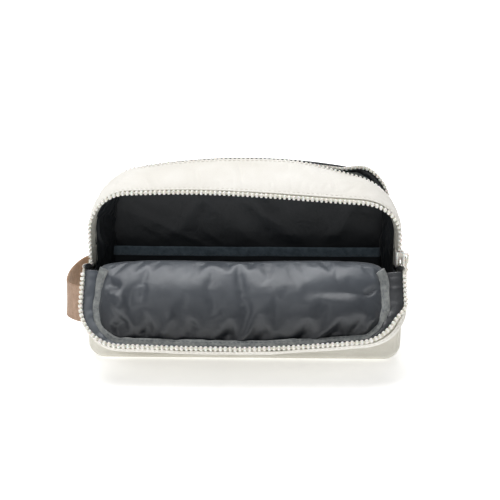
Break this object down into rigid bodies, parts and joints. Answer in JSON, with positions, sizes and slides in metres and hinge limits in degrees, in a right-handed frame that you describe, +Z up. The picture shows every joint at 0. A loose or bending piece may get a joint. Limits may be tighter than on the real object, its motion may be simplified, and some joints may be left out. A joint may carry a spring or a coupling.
{
  "type": "makeup bag",
  "caption": "Upright zip-around makeup bag: front flap folded down, back flap ajar, gray lined compartments, slip pocket and side handle.",
  "frame": {"origin": "centre of the base's underside", "axes": "+X to the bag's right, +Y to the back, +Z up"},
  "size_m": [0.2643, 0.1513, 0.1474],
  "materials": {
    "outer_fabric": "coated canvas, matt",
    "lining": "satin nylon",
    "foam": "soft foam",
    "board": "thin sheet",
    "binding": "grosgrain tape",
    "pocket_binding": "twill tape",
    "zip_tape": "woven tape",
    "zip_plastic": "moulded acetal",
    "strap_webbing": "woven webbing",
    "thread": "thread",
    "puller_leather": "coated, cut edge",
    "puller_metal": "painted wire"
  },
  "bodies": {
    "bag": {"middle_gusset": "outer_fabric", "left_side_panel": "outer_fabric", "right_side_panel": "outer_fabric", "base_panel": "outer_fabric", "front_lower_panel": "outer_fabric", "back_lower_panel": "outer_fabric", "gusset_foam": "foam", "left_side_foam": "foam", "right_side_foam": "foam", "front_lower_foam": "foam", "back_lower_foam": "foam", "front_fold_roll": "foam", "back_fold_roll": "foam", "gusset_lining": "lining", "left_side_lining": "lining", "right_side_lining": "lining", "base_lining": "lining", "front_lower_lining": "lining", "back_lower_lining": "lining", "divider_lining_front": "lining", "divider_lining_back": "lining", "slip_pocket": "lining", "base_board": "board", "divider_board": "board", "pocket_binding": "pocket_binding", "front_tape_body": "zip_tape", "back_tape_body": "zip_tape", "front_teeth_body": "zip_plastic", "back_teeth_body": "zip_plastic", "front_zip_stops": "zip_plastic", "back_zip_stops": "zip_plastic", "side_strap": "strap_webbing", "strap_bar_tacks": "thread"},
    "front_flap": {"front_flap_panel": "outer_fabric", "front_flap_gusset": "outer_fabric", "front_flap_foam": "foam", "front_flap_lining": "lining", "front_flap_gusset_lining": "lining", "front_flap_binding": "binding", "front_flap_tape": "zip_tape", "front_flap_teeth": "zip_plastic"},
    "back_flap": {"back_flap_panel": "outer_fabric", "back_flap_gusset": "outer_fabric", "back_flap_foam": "foam", "back_flap_lining": "lining", "back_flap_gusset_lining": "lining", "back_flap_binding": "binding", "back_flap_tape": "zip_tape", "back_flap_teeth": "zip_plastic"},
    "front_slider": {"front_slider": "zip_plastic", "front_slider_bridge": "zip_plastic"},
    "back_slider": {"back_slider": "zip_plastic", "back_slider_bridge": "zip_plastic"},
    "front_puller": {"front_puller_ring": "puller_metal", "front_puller_tab": "puller_leather"},
    "back_puller": {"back_puller_ring": "puller_metal", "back_puller_tab": "puller_leather"}
  },
  "joints": [
    {"name": "front_flap_fold", "type": "hinge", "parent": "bag", "child": "front_flap", "pos_m": [0, -0.0454, 0.071], "axis": [-1, 0, 0], "range_deg": [0, 145]},
    {"name": "back_flap_fold", "type": "hinge", "parent": "bag", "child": "back_flap", "pos_m": [0, 0.0454, 0.071], "axis": [-1, 0, 0], "range_deg": [-11, 134]},
    {"name": "front_slider_run", "type": "slide", "parent": "bag", "child": "front_slider", "axis": [0, 0, 1], "range_m": [0, 0.012]},
    {"name": "back_slider_run", "type": "slide", "parent": "bag", "child": "back_slider", "axis": [0, 0, 1], "range_m": [0, 0.014]},
    {"name": "front_puller_swing", "type": "hinge", "parent": "front_slider", "child": "front_puller", "pos_m": [0.12325, -0.0298, 0.0793], "axis": [0, -1, 0], "range_deg": [0, 170]},
    {"name": "back_puller_swing", "type": "hinge", "parent": "back_slider", "child": "back_puller", "pos_m": [0.12325, 0.0298, 0.0793], "axis": [0, -1, 0], "range_deg": [0, 170]}
  ]
}
